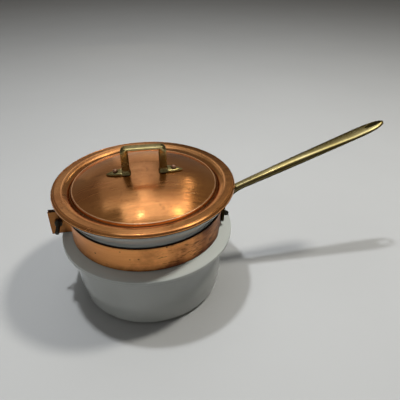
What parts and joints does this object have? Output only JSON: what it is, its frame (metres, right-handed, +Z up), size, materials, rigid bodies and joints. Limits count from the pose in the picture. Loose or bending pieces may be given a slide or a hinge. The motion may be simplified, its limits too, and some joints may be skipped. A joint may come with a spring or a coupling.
{
  "type": "porcelain cooking pot with lid",
  "caption": "White porcelain pot with a wide shoulder, a copper band clamped round its neck, a long brass handle and a copper lid with a brass bow handle.",
  "frame": {"origin": "on the pot's axis, on its flat underside", "axes": "+Z up along the pot's axis, +X along the long handle, so the band's clamp points along -X"},
  "size_m": [0.3475, 0.1778, 0.1651],
  "materials": {
    "porcelain_pot": "gloss",
    "neck_band": "satin",
    "clamp_bolt": "satin",
    "clamp_nut": "satin",
    "handle": "gloss",
    "handle_rivet_near": "satin",
    "handle_rivet_far": "satin",
    "lid": "satin",
    "lid_handle": "gloss",
    "lid_rivet_left": "satin",
    "lid_rivet_right": "satin"
  },
  "bodies": {
    "pot": {"porcelain_pot": "porcelain_pot", "neck_band": "neck_band", "clamp_bolt": "clamp_bolt", "clamp_nut": "clamp_nut", "handle": "handle", "handle_rivet_near": "handle_rivet_near", "handle_rivet_far": "handle_rivet_far"},
    "cover": {"lid": "lid", "lid_handle": "lid_handle", "lid_rivet_left": "lid_rivet_left", "lid_rivet_right": "lid_rivet_right"}
  },
  "joints": [
    {"name": "lid_lift", "type": "slide", "parent": "pot", "child": "cover", "axis": [0, 0, 1], "range_m": [0, 0.06]}
  ]
}
